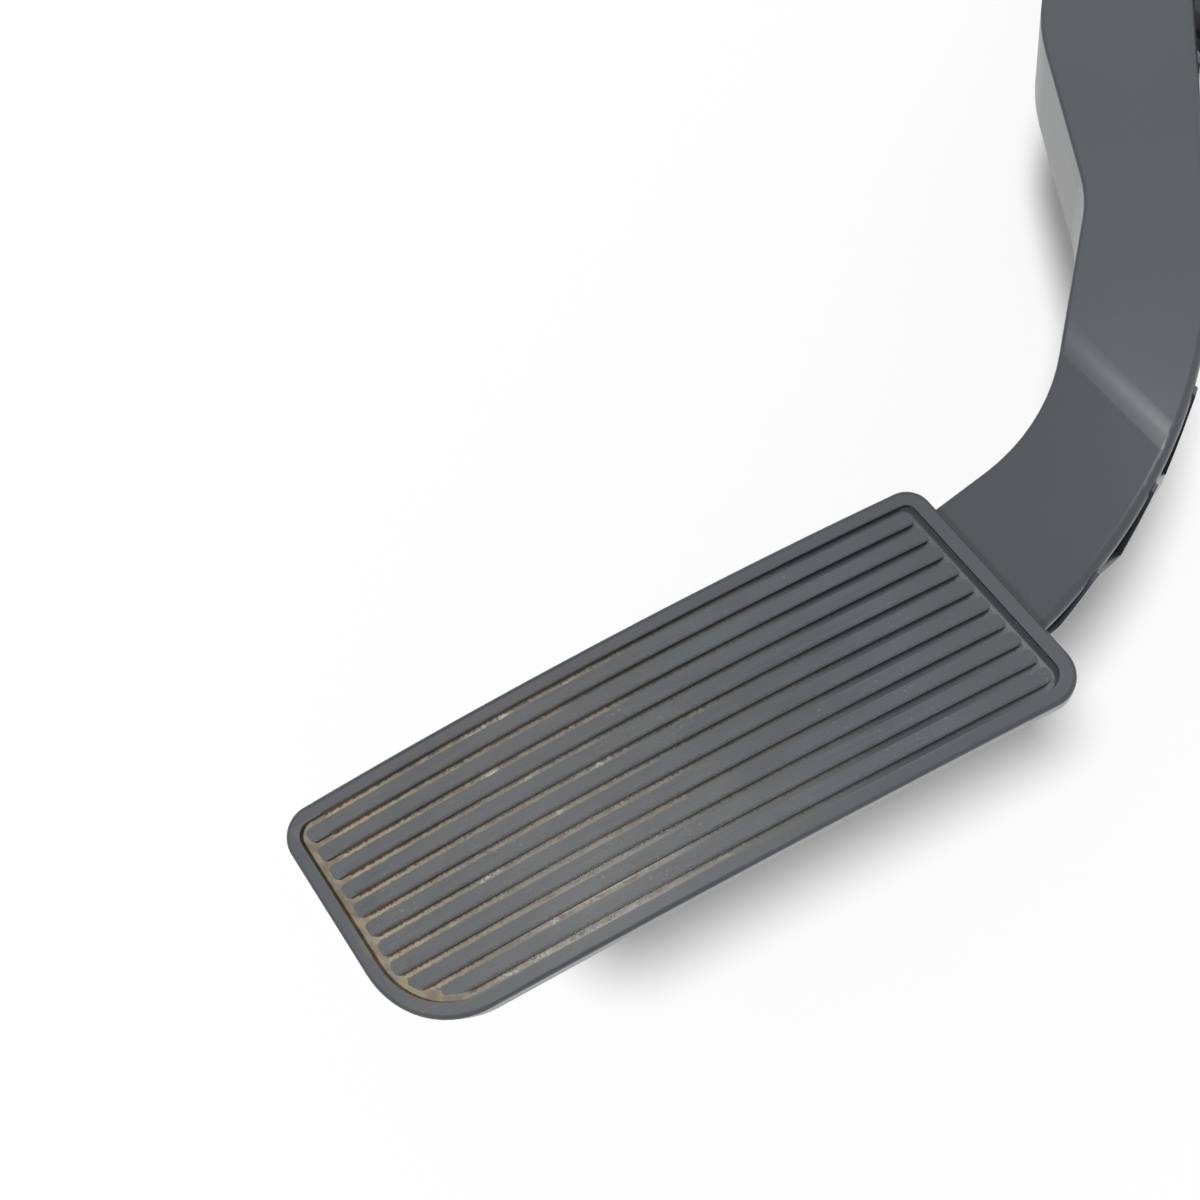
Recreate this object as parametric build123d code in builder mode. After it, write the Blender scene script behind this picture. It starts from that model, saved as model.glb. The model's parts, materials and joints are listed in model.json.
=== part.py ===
from build123d import *

import os
from math import cos, radians, sin, sqrt, tan

# Accelerator pedal module: a ribbed foot pad and swept arm in one moulding, on a sprung pivot in a housing.
# Frame: the mounting face is the plane Z = 0, with the origin at the centre of the bolt circle. +Z points to
# the driver's foot, +Y runs from the pad up to the housing and +X is the direction of the pivot axis.

# Pivot and travel
PIVOT_Y = 6.0
PIVOT_Z = 36.0
FULL_TRAVEL_DEG = 13.0

# Foot pad: a leaning parallelogram in plan, arched along its length
PAD_MID_X = 95.8
PAD_MID_Y = -267.4
PAD_CROWN_Z = 122.4
PAD_CROWN_SHIFT = -49.6
PAD_LENGTH = 142.7
PAD_WIDTH = 53.0
PAD_LEAN_DEG = 9.2
PAD_ARCH_R = 439.0
PAD_PLATE = 3.6
PAD_EDGE = 6.0
PAD_SKIRT = 2.4
PAD_ROUND = 1.0
PAD_CORNER_FOOT_LEFT = 6.2
PAD_CORNER_FOOT_RIGHT = 20.0
PAD_CORNER_HEAD_RIGHT = 7.0
PAD_CORNER_HEAD_LEFT = 5.3

# Tread of the pad
TREAD_BORDER = 3.2
TREAD_GROOVE = 1.4
TREAD_END_GROOVE = 1.9
TREAD_DEPTH = 1.6
TREAD_RIBS = 10
TREAD_RIB_ROUND = 0.8

# Stiffening lattice behind the pad
LATTICE_RIB = 1.8
LATTICE_LONG = 3
LATTICE_CROSS = 6

# Arm in plan, from the pad's head to the hub
ARM_FOOT_WIDTH = 32.7
ARM_FOOT_OFFSET = -3.4
ARM_UNDERLAP = 14.0
ARM_ROOT_WIDTH = 25.0
ARM_LEFT_RISE = 28.4
ARM_LEFT_BEND_R = 44.0
ARM_LEFT_LEAN_DEG = 40.5
ARM_LEFT_KNEE = 57.5
ARM_LEFT_KNEE_R = 33.4
ARM_LEFT_RETURN_Y = -88.0
ARM_LEFT_RETURN_R = 53.0
ARM_RIGHT_RISE = 45.6
ARM_RIGHT_TAPER = 1.7
ARM_RIGHT_BEND_R = 131.7
ARM_RIGHT_RETURN_Y = -56.6
ARM_RIGHT_RETURN_R = 27.0

# Arm in side view
ARM_STEP = 0.7
ARM_SLOPE_DEG = 7.0
ARM_BEND_RISE = 44.4
ARM_BEND_R = 32.0
ARM_BELLY_RISE = 86.0
ARM_DEPTH = 30.5
ARM_FOOT_DEPTH = 9.0
ARM_SHEET = 3.0
ARM_WALL = 3.0
ARM_RIB = 2.0
ARM_RIB_PITCH = 21.0
ARM_RIB_START = 4.0
ARM_RIB_PROUD = 0.7
ARM_RIGHT_ROUND = 2.2
ARM_LEFT_ROUND = 0.6
ARM_ROOT_LENGTH = 54.0

# Hub and tail of the arm
HUB_R = 12.0
TAIL_HALF = 10.0
TAIL_R = 21.0
TAIL_RISE = 8.0
TONGUE_RISE = 2.0
TONGUE_DEPTH = 3.0

# Pivot shaft, bushes and washers
SHAFT_R = 4.0
SHAFT_RUNNING = 0.05
FIT = 0.02
BUSH_R = 6.0
BUSH_FLANGE_R = 8.0
BUSH_FLANGE = 1.2
BUSH_PROUD = 0.2
WASHER = 1.0
WASHER_PLAY = 0.15
RING = 0.8
RING_R = 6.5
RING_GROOVE = 0.8
RING_MOUTH = 5.0
RING_PLAY = 0.05
SHAFT_TAIL = 1.6
SHAFT_CHAMFER = 0.5

# Housing
INNER_HALF = 15.0
WALL = 3.0
FLOOR = 5.0
HOUSING_TOP_Z = 56.0
HOUSING_FRONT_Y = -33.0
HOUSING_ROUND = 1.2
FRONT_WALL = 4.0
FRONT_WALL_Z = 20.0
FRONT_SIDE_Z = 33.0
ROOF_FRONT_Y = -10.0
ROOF_ROUND = 8.0
TRACK_R = 27.0
TRACK_WALL = 4.0
TRACK_GAP = 0.3
COLLAR_R = 11.0
COLLAR_WALL = 2.0
COLLAR_HEIGHT = 4.5

# Mounting lugs
BOLT_CIRCLE = 92.0
LUG_COUNT = 3
LUG_START_DEG = 90.0
LUG_R = 9.0
LUG_HEIGHT = 12.0
FLANGE_R = 11.0
SLEEVE_R = 4.6
SLEEVE_BORE_R = 3.3
GUSSET = 3.0
GUSSET_Z = 28.0

# Return springs
SPRING_Y = -14.0
SPRING_GAP = 0.1
OUTER_SPRING_R = 8.1
OUTER_WIRE_R = 0.9
OUTER_TURNS = 4
INNER_SPRING_R = 5.2
INNER_WIRE_R = 0.6
INNER_TURNS = 5
WIRE_SIDES = 8
SPIGOT_R = 4.2
SPIGOT_HEIGHT = 3.0
CUP_R = 10.0
CUP_BASE_Z = 24.0

# End stops
BUFFER_R = 3.5
BUFFER_HEIGHT = 5.0
BUFFER_STEM_R = 1.8
BUFFER_STEM = 5.0
BUFFER_EDGE = 0.6
IDLE_BUFFER_Y = 20.0
IDLE_GAP = 0.2
FULL_STOP_GAP = 0.3
PEDESTAL_R = 4.0

# Top cover
COVER_PLATE = 2.5
COVER_LIP = 2.0
COVER_LIP_DEPTH = 3.0
COVER_LIP_GAP = 0.2
COVER_ROUND = 1.0
COVER_SCREW_X = 10.0
COVER_SCREW_INSET = 4.5

# Sensor chamber on the right wall
CHAMBER_LONG = 34.0
CHAMBER_HIGH = 32.0
CHAMBER_CORNER = 6.0
CHAMBER_WALL = 3.0
CHAMBER_DEPTH = 13.0
LEDGE = 1.5
EAR_R = 3.6
EAR_INSET = 0.8
EAR_BLEND = 2.0
SEAL = 1.0
LID = 3.0
LID_LIP = 1.5
LID_LIP_GAP = 0.2
LID_EDGE = 0.8
BOARD = 1.6
BOARD_GAP = 0.2
BOARD_SEAT_DEPTH = 8.5
CHIP_LONG = 4.0
CHIP_HIGH = 3.0
CHIP = 1.2
CHIP_PITCH = 6.0
CHIP_COUNT = 2
CARRIER_R = 7.5
CARRIER_GAP = 0.4
CARRIER_SOCKET = 3.0
CARRIER_WEB = 0.6
MAGNET_R = 5.0
MAGNET = 2.2

# Connector
SOCKET_LONG = 22.0
SOCKET_HIGH = 13.0
SOCKET_CORNER = 3.0
SOCKET_WALL = 1.8
SOCKET_DEPTH = 19.0
LATCH_LONG = 6.0
LATCH_RISE = 1.6
LATCH_RUN = 5.0
LATCH_SETBACK = 5.0
PIN = 0.8
PIN_GAP = 0.1
PIN_REACH = 11.0
PIN_ROWS = 2
PIN_COLUMNS = 3
PIN_PITCH_LONG = 5.0
PIN_PITCH_HIGH = 4.6

# Screws
SCREW_R = 1.25
SCREW_HEAD_R = 2.6
SCREW_HEAD = 1.8
SCREW_HEAD_TAPER = 10.0
SCREW_LENGTH = 9.0
SCREW_DRIVE_R = 1.3
SCREW_DRIVE_SIDES = 6
SCREW_DRIVE_DEPTH = 1.1
SCREW_CLEARANCE = 0.15

# How far a side view reaches past the plan that it cuts
OVERRUN = 5.0

# Parts of a face's normal that tell the arm's flanks and front face apart
UPRIGHT = 0.01
SIDEWAYS = 0.3
UPWARD = 0.9


def pad_face(y):
    """Height of the pad's arched face."""
    run = y - PAD_MID_Y - PAD_CROWN_SHIFT
    return PAD_CROWN_Z - PAD_ARCH_R + sqrt(PAD_ARCH_R**2 - run**2)


# Worked out from the sizes above
lean = tan(radians(PAD_LEAN_DEG))
pad_foot_y = PAD_MID_Y - PAD_LENGTH / 2
pad_head_y = PAD_MID_Y + PAD_LENGTH / 2
pad_head_x = PAD_MID_X + lean * PAD_LENGTH / 2
arm_slope = tan(radians(ARM_SLOPE_DEG))
arm_start_y = pad_head_y - ARM_UNDERLAP
arm_start_z = pad_face(pad_head_y) - ARM_STEP
arm_bend_y = pad_head_y + ARM_BEND_RISE
arm_bend_z = arm_start_z - arm_slope * ARM_BEND_RISE
arm_foot_left = pad_head_x + ARM_FOOT_OFFSET - ARM_FOOT_WIDTH / 2
arm_foot_right = arm_foot_left + ARM_FOOT_WIDTH
arm_left_bend_y = pad_head_y + ARM_LEFT_RISE
arm_root_half = ARM_ROOT_WIDTH / 2
hub_top_z = PIVOT_Z + HUB_R
hub_bottom_z = PIVOT_Z - HUB_R
front_slope = (arm_bend_z - hub_top_z) / (PIVOT_Y - arm_bend_y)
arm_belly_y = pad_head_y + ARM_BELLY_RISE
arm_belly_z = hub_top_z + front_slope * (PIVOT_Y - arm_belly_y) - ARM_DEPTH
foot_slope = (arm_start_z - ARM_FOOT_DEPTH - arm_belly_z) / ARM_BELLY_RISE
under_slope = (arm_belly_z - hub_bottom_z) / (PIVOT_Y - arm_belly_y)
outer_half = INNER_HALF + WALL
rear_y = PIVOT_Y + TRACK_R + TRACK_WALL
flange_face = INNER_HALF - BUSH_FLANGE
bush_end = outer_half + BUSH_PROUD
bolt_r = BOLT_CIRCLE / 2
front_lug_angle = radians(LUG_START_DEG - 360 / LUG_COUNT)
lug_x = bolt_r * cos(front_lug_angle)
lug_y = bolt_r * sin(front_lug_angle)
chamber_face = outer_half + CHAMBER_DEPTH
lid_base = chamber_face + SEAL
lid_face = lid_base + LID
board_seat = outer_half + BOARD_SEAT_DEPTH
board_face = board_seat + BOARD
carrier_base = bush_end + CARRIER_GAP
shaft_end = carrier_base + CARRIER_SOCKET
magnet_base = shaft_end + CARRIER_WEB
ring_face = -(bush_end + RING_PLAY)
groove_end = ring_face - RING - 2 * RING_PLAY
shaft_left = groove_end - SHAFT_TAIL
cover_top_z = HOUSING_TOP_Z + COVER_PLATE
idle_base_z = PIVOT_Z - TAIL_RISE - IDLE_GAP - BUFFER_HEIGHT
full_stop_y = HOUSING_FRONT_Y + PEDESTAL_R
cover_screw_y = rear_y - COVER_SCREW_INSET
cover_screws = [(-COVER_SCREW_X, cover_screw_y), (COVER_SCREW_X, cover_screw_y)]
tall = 2 * PAD_CROWN_Z
wide = 2 * (PAD_MID_X + PAD_WIDTH)


def arm_face(y):
    """Height of the arm's front face, its bend left sharp."""
    run = arm_bend_y - y
    return arm_bend_z + min(arm_slope * run, front_slope * run)


def arm_underside(y):
    """Height of the free edges of the arm's walls and ribs, which bend at the belly."""
    run = arm_belly_y - y
    return arm_belly_z + max(foot_slope * run, under_slope * run)


def pressed_height(y, z):
    """Height of a point of the pedal after the full travel about the pivot."""
    turn = radians(FULL_TRAVEL_DEG)
    return PIVOT_Z + (y - PIVOT_Y) * sin(turn) + (z - PIVOT_Z) * cos(turn)


def on_pivot(x):
    """Plane across the pivot axis at x, with its first direction along Y and its second along Z."""
    return Plane((x, PIVOT_Y, PIVOT_Z), x_dir=(0, 1, 0), z_dir=(1, 0, 0))


def pad_outline(inset=0.0):
    """Plan of the pad, a leaning parallelogram with a different round at each corner, moved in by inset."""
    shift = lean * PAD_LENGTH / 2
    half = PAD_WIDTH / 2
    with BuildSketch() as plan:
        with BuildLine():
            FilletPolyline(
                (PAD_MID_X - shift - half, pad_foot_y),
                (PAD_MID_X - shift + half, pad_foot_y),
                (PAD_MID_X + shift + half, pad_head_y),
                (PAD_MID_X + shift - half, pad_head_y),
                radius=[
                    PAD_CORNER_FOOT_LEFT,
                    PAD_CORNER_FOOT_RIGHT,
                    PAD_CORNER_HEAD_RIGHT,
                    PAD_CORNER_HEAD_LEFT,
                ],
                close=True,
            )
        make_face()
        if inset:
            offset(amount=-inset, mode=Mode.REPLACE)
    return plan.sketch


def arm_left_edge():
    """Left edge of the arm in plan, from behind the pad's head to the pivot."""
    sweep_angle = radians(ARM_LEFT_LEAN_DEG)
    knee_x = arm_foot_left - ARM_LEFT_KNEE * sin(sweep_angle)
    knee_y = arm_left_bend_y + ARM_LEFT_KNEE * cos(sweep_angle)
    with BuildLine() as edge:
        FilletPolyline(
            (arm_foot_left, arm_start_y),
            (arm_foot_left, arm_left_bend_y),
            (knee_x, knee_y),
            (-arm_root_half, ARM_LEFT_RETURN_Y),
            (-arm_root_half, PIVOT_Y),
            radius=[ARM_LEFT_BEND_R, ARM_LEFT_KNEE_R, ARM_LEFT_RETURN_R],
        )
    return edge.wire()


def arm_right_edge():
    """Right edge of the arm in plan, from behind the pad's head to the pivot."""
    with BuildLine() as edge:
        FilletPolyline(
            (arm_foot_right, arm_start_y),
            (arm_foot_right - ARM_RIGHT_TAPER, pad_head_y + ARM_RIGHT_RISE),
            (arm_root_half, ARM_RIGHT_RETURN_Y),
            (arm_root_half, PIVOT_Y),
            radius=[ARM_RIGHT_BEND_R, ARM_RIGHT_RETURN_R],
        )
    return edge.wire()


def arm_outline(shift=0.0):
    """Plan of the arm between its two edges, moved to the right by shift."""
    left = arm_left_edge()
    right = arm_right_edge()
    with BuildSketch() as plan:
        with BuildLine():
            add(left)
            add(right)
            Line(left @ 0, right @ 0)
            Line(left @ 1, right @ 1)
        make_face()
    return Pos(shift, 0) * plan.sketch


def below_pad(depth):
    """Side view of everything lower than depth under the pad's arched face."""
    first_y = pad_foot_y - OVERRUN
    last_y = pad_head_y + OVERRUN
    with BuildSketch(Plane.YZ) as side:
        with BuildLine():
            arch = ThreePointArc(*[(y, pad_face(y) - depth) for y in (first_y, PAD_MID_Y, last_y)])
            Polyline(arch @ 1, (last_y, -tall), (first_y, -tall), arch @ 0)
        make_face()
    return side.sketch


def below_arm(depth):
    """Side view of everything lower than depth under the arm's front face."""
    first_y = arm_start_y - OVERRUN
    last_y = PIVOT_Y + OVERRUN
    with BuildSketch(Plane.YZ) as side:
        with BuildLine():
            face = FilletPolyline(
                (first_y, arm_start_z + arm_slope * (pad_head_y - first_y) - depth),
                (arm_bend_y, arm_bend_z - depth),
                (last_y, hub_top_z - front_slope * OVERRUN - depth),
                radius=ARM_BEND_R,
            )
            Polyline(face @ 1, (last_y, -tall), (first_y, -tall), face @ 0)
        make_face()
    return side.sketch


def below_underside(rise=0.0):
    """Side view of everything lower than the free edges of the arm's walls and ribs, raised by rise."""
    first_y = pad_foot_y - OVERRUN
    last_y = PIVOT_Y + OVERRUN
    skirt_z = pad_face(PAD_MID_Y) - PAD_EDGE
    with BuildSketch(Plane.YZ) as side:
        with BuildLine():
            Polyline(
                (first_y, skirt_z + rise),
                (PAD_MID_Y, skirt_z + rise),
                (pad_head_y, arm_underside(pad_head_y) + rise),
                (arm_belly_y, arm_belly_z + rise),
                (last_y, arm_underside(last_y) + rise),
                (last_y, -tall),
                (first_y, -tall),
                close=True,
            )
        make_face()
    return side.sketch


def moulded(plan, upper, lower):
    """Solid over a plan outline, inside one side view and outside another."""
    with BuildPart() as solid:
        extrude(plan, amount=tall)
        extrude(upper, amount=wide, both=True, mode=Mode.INTERSECT)
        extrude(lower, amount=wide, both=True, mode=Mode.SUBTRACT)
    return solid.part


def tread_ribs():
    """Plan of the raised ribs of the tread, lengthwise strips that end along the recess's outline."""
    across = (PAD_WIDTH * cos(radians(PAD_LEAN_DEG))) - 2 * (TREAD_BORDER + TREAD_GROOVE)
    rib = (across - (TREAD_RIBS - 1) * TREAD_GROOVE) / TREAD_RIBS
    pitch = (rib + TREAD_GROOVE) / cos(radians(PAD_LEAN_DEG))
    with BuildSketch() as plan:
        with Locations((PAD_MID_X, PAD_MID_Y)):
            with GridLocations(pitch, 1, TREAD_RIBS, 1):
                Rectangle(rib, 2 * PAD_LENGTH, rotation=-PAD_LEAN_DEG)
        add(pad_outline(TREAD_BORDER + TREAD_GROOVE), mode=Mode.INTERSECT)
        with Locations((PAD_MID_X, PAD_MID_Y)):
            length = PAD_LENGTH - 2 * (TREAD_BORDER + TREAD_END_GROOVE)
            Rectangle(2 * PAD_WIDTH, length, mode=Mode.INTERSECT)
        offset(amount=-TREAD_RIB_ROUND, kind=Kind.INTERSECTION, mode=Mode.REPLACE)
        offset(amount=TREAD_RIB_ROUND, kind=Kind.ARC, mode=Mode.REPLACE)
    return plan.sketch


def tread_grooves():
    """Plan of the sunk part of the tread: the recess inside the border, less its ribs."""
    with BuildSketch() as plan:
        add(pad_outline(TREAD_BORDER))
        add(tread_ribs(), mode=Mode.SUBTRACT)
    return plan.sketch


def pad_lattice():
    """Plan of the stiffening ribs behind the pad, some along it and some across."""
    with BuildSketch() as plan:
        with Locations((PAD_MID_X, PAD_MID_Y)):
            with GridLocations(PAD_WIDTH / (LATTICE_LONG + 1), 1, LATTICE_LONG, 1):
                Rectangle(LATTICE_RIB, 2 * PAD_LENGTH, rotation=-PAD_LEAN_DEG)
            with GridLocations(1, PAD_LENGTH / (LATTICE_CROSS + 1), 1, LATTICE_CROSS):
                Rectangle(2 * PAD_WIDTH, LATTICE_RIB)
        add(pad_outline(PAD_SKIRT / 2), mode=Mode.INTERSECT)
    return plan.sketch


def arm_left_wall():
    """Plan of the arm's full-length left wall."""
    with BuildSketch() as plan:
        trace(arm_left_edge(), 2 * ARM_WALL)
        add(arm_outline(), mode=Mode.INTERSECT)
    return plan.sketch


def arm_root_wall():
    """Plan of the short right wall that boxes the arm in beside the hub."""
    with BuildSketch() as plan:
        with Locations((arm_root_half, PIVOT_Y)):
            Rectangle(ARM_WALL, ARM_ROOT_LENGTH, align=(Align.MAX, Align.MAX))
    return plan.sketch


def arm_root_floor():
    """Plan of the plate that closes the arm's underside beside the hub."""
    with BuildSketch() as plan:
        with Locations((0, PIVOT_Y)):
            Rectangle(ARM_ROOT_WIDTH, ARM_ROOT_LENGTH, align=(Align.CENTER, Align.MAX))
    return plan.sketch


def arm_truss():
    """Zigzag ribs across the arm's open right side, which end inside its front sheet."""
    first_y = pad_head_y + ARM_RIB_START
    steps = int(2 * (PIVOT_Y - ARM_ROOT_LENGTH - first_y) / ARM_RIB_PITCH)
    corners = []
    for i in range(-1, steps + 1):
        y = first_y + i * ARM_RIB_PITCH / 2
        corners.append((y, arm_face(y) - ARM_SHEET + ARM_RIB / 2 if i % 2 else arm_underside(y)))
    with BuildSketch(Plane.YZ) as side:
        with BuildLine():
            Polyline(corners)
        trace(line_width=ARM_RIB)
    with BuildPart() as ribs:
        add(moulded(arm_outline(ARM_RIB_PROUD), side.sketch, below_underside()))
        extrude(below_arm(ARM_SHEET / 2), amount=wide, both=True, mode=Mode.INTERSECT)
    return ribs.part


def arm_spines():
    """Plan of the two tapering ribs that carry the arm's load on behind the pad."""
    run = lean * PAD_LENGTH / 2
    with BuildSketch() as plan:
        for x in (arm_foot_left + ARM_WALL / 2, arm_foot_right - ARM_WALL):
            with BuildLine():
                Line((x, pad_head_y), (x - run, PAD_MID_Y))
            trace(line_width=ARM_WALL)
        add(pad_outline(PAD_SKIRT / 2), mode=Mode.INTERSECT)
    return plan.sketch


def arm_front():
    """Front sheet of the arm, with a generous round on its right edge and a crisp one on its left."""
    with BuildPart() as sheet:
        add(moulded(arm_outline(), below_arm(0), below_arm(ARM_SHEET)))
        for side, radius in ((1, ARM_RIGHT_ROUND), (-1, ARM_LEFT_ROUND)):
            upright = sheet.faces().filter_by(lambda f: abs(f.normal_at().Z) < UPRIGHT)
            flank = upright.filter_by(lambda f: side * f.normal_at().X > SIDEWAYS)
            face = sheet.faces().filter_by(lambda f: f.normal_at().Z > UPWARD)
            fillet(flank.edges() & face.edges(), radius)
    return sheet.part


os.makedirs("parts", exist_ok=True)

with BuildPart() as pedal_arm:
    # Pad: rounded round its face, hollowed from behind and stiffened by a lattice
    add(moulded(pad_outline(), below_pad(0), below_pad(PAD_EDGE)))
    fillet(pedal_arm.faces().sort_by(Axis.Z)[-1].edges(), PAD_ROUND)
    add(moulded(pad_outline(PAD_SKIRT), below_pad(PAD_PLATE), below_pad(2 * PAD_EDGE)), mode=Mode.SUBTRACT)
    add(moulded(pad_lattice(), below_pad(PAD_PLATE / 2), below_pad(PAD_EDGE)))
    # Arm: front sheet, left wall, truss of ribs and the spines behind the pad
    add(arm_front())
    add(moulded(arm_left_wall(), below_arm(ARM_SHEET / 2), below_underside()))
    add(arm_truss())
    add(moulded(arm_spines(), below_pad(PAD_PLATE / 2), below_underside()))
    # Root: boxed in beside the hub
    add(moulded(arm_root_wall(), below_arm(ARM_SHEET / 2), below_underside()))
    add(moulded(arm_root_floor(), below_underside(ARM_SHEET), below_underside()))
    # Tread
    add(moulded(tread_grooves(), below_pad(-PAD_EDGE), below_pad(TREAD_DEPTH)), mode=Mode.SUBTRACT)
    # Hub and tail, with the slot for the friction shoe
    with BuildSketch(on_pivot(-arm_root_half)):
        Circle(HUB_R)
    extrude(amount=ARM_ROOT_WIDTH)
    with BuildSketch(on_pivot(-TAIL_HALF)):
        Rectangle(TAIL_R, 2 * TAIL_RISE, align=(Align.MIN, Align.CENTER))
        Circle(TAIL_R, mode=Mode.INTERSECT)
        with Locations((TAIL_R - TONGUE_DEPTH, 0)):
            Rectangle(TAIL_R, 2 * TONGUE_RISE, align=(Align.MIN, Align.CENTER), mode=Mode.SUBTRACT)
    extrude(amount=2 * TAIL_HALF)
    with BuildSketch(on_pivot(-outer_half)):
        Circle(SHAFT_R + FIT)
    extrude(amount=2 * outer_half, mode=Mode.SUBTRACT)
pedal_arm.part.label = "pedal_arm"
export_step(pedal_arm.part, "parts/pedal_arm.step")


def chamber_outline(x):
    """Outline of the sensor chamber across the pivot axis at x, its screw ears blended into its sides."""
    with BuildSketch(on_pivot(x)) as outline:
        Rectangle(CHAMBER_LONG, CHAMBER_HIGH)
        with Locations(*ear_places()):
            Circle(EAR_R)
        fillet(outline.vertices(), EAR_BLEND)
    return outline.sketch


def ear_places():
    """Centres of the sensor cover's screws, from the pivot axis."""
    y = CHAMBER_LONG / 2 - EAR_INSET
    z = CHAMBER_HIGH / 2 - EAR_INSET
    return [(y, z), (-y, z), (-y, -z), (y, -z)]


def chamber_opening(gap=0.0):
    """Length, height and corner radius of the inside of the sensor chamber, less a gap all round."""
    inset = CHAMBER_WALL + gap
    return CHAMBER_LONG - 2 * inset, CHAMBER_HIGH - 2 * inset, CHAMBER_CORNER - inset


def disc(place, radius, at=(0, 0)):
    """Round face on a plane."""
    with BuildSketch(place) as face:
        with Locations(at):
            Circle(radius)
    return face.sketch


def add_screw(place):
    """One pan-head screw, its head on the given plane and its shank down the plane's normal."""
    extrude(disc(place, SCREW_HEAD_R), amount=SCREW_HEAD, taper=SCREW_HEAD_TAPER)
    extrude(disc(place, SCREW_R), amount=-SCREW_LENGTH)
    with BuildSketch(place.offset(SCREW_HEAD)) as drive:
        RegularPolygon(SCREW_DRIVE_R, SCREW_DRIVE_SIDES)
    extrude(drive.sketch, amount=-SCREW_DRIVE_DEPTH, mode=Mode.SUBTRACT)


def add_spring(radius, wire_r, turns):
    """One coil spring standing on the housing floor, up to the spring cup."""
    base = FLOOR + wire_r + SPRING_GAP
    height = CUP_BASE_Z - FLOOR - 2 * (wire_r + SPRING_GAP)
    with BuildLine() as coil:
        Helix(height / turns, height, radius, center=(0, SPRING_Y, base))
    with BuildSketch(Plane(coil.line @ 0, z_dir=coil.line % 0)) as wire:
        RegularPolygon(wire_r, WIRE_SIDES)
    sweep(wire.sketch, path=coil.line, is_frenet=True)


def add_bush(side):
    """One flanged bush in the housing wall on the given side, its flange against the inner face."""
    extrude(disc(on_pivot(side * flange_face), BUSH_FLANGE_R), amount=side * BUSH_FLANGE)
    extrude(disc(on_pivot(side * INNER_HALF), BUSH_R), amount=side * (bush_end - INNER_HALF))
    bore = disc(on_pivot(side * flange_face), SHAFT_R + SHAFT_RUNNING)
    extrude(bore, amount=side * (bush_end - flange_face), mode=Mode.SUBTRACT)


def add_buffer(y, base_z):
    """One rubber end stop with a bevelled head on the given height and a stem below it."""
    seat = Plane.XY.offset(base_z)
    head = extrude(disc(seat, BUFFER_R, (0, y)), amount=BUFFER_HEIGHT)
    chamfer(head.edges().group_by(Axis.Z)[-1], BUFFER_EDGE)
    extrude(disc(seat, BUFFER_STEM_R, (0, y)), amount=-BUFFER_STEM)


def add_pedestal(y, top_z):
    """Post of the housing under a rubber end stop, with the hole for its stem."""
    extrude(disc(Plane.XY, PEDESTAL_R, (0, y)), amount=top_z)
    hole = disc(Plane.XY.offset(top_z), BUFFER_STEM_R + FIT, (0, y))
    extrude(hole, amount=-BUFFER_STEM - FIT, mode=Mode.SUBTRACT)


full_stop_top_z = pressed_height(full_stop_y, arm_underside(full_stop_y)) - FULL_STOP_GAP
full_stop_base_z = full_stop_top_z - BUFFER_HEIGHT

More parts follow.
